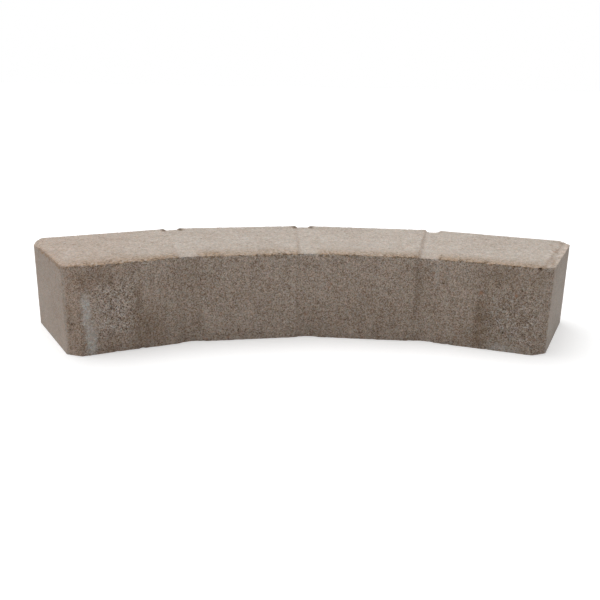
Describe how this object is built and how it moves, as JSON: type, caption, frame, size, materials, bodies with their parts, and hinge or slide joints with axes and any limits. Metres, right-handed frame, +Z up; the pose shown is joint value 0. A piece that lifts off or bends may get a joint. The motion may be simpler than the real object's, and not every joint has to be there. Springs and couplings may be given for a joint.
{
  "type": "curved concrete kerb stone",
  "caption": "Curved concrete kerb stone, pressed in one piece to look like a short arc of straight setts with sunken false joints, chamfered ends and a flat bed.",
  "frame": {"origin": "on the bed, below the middle of the stone's bounding box", "axes": "+Z up from the bed, +X along the stone, the concave face towards -Y and the convex face towards +Y"},
  "size_m": [0.4786, 0.1548, 0.075],
  "materials": {
    "concrete": "matt pressed concrete, warm grey-beige, fine and pale on the top, coarse and darker on the long faces"
  },
  "bodies": {
    "root": {"kerb_stone": "concrete"}
  },
  "joints": []
}
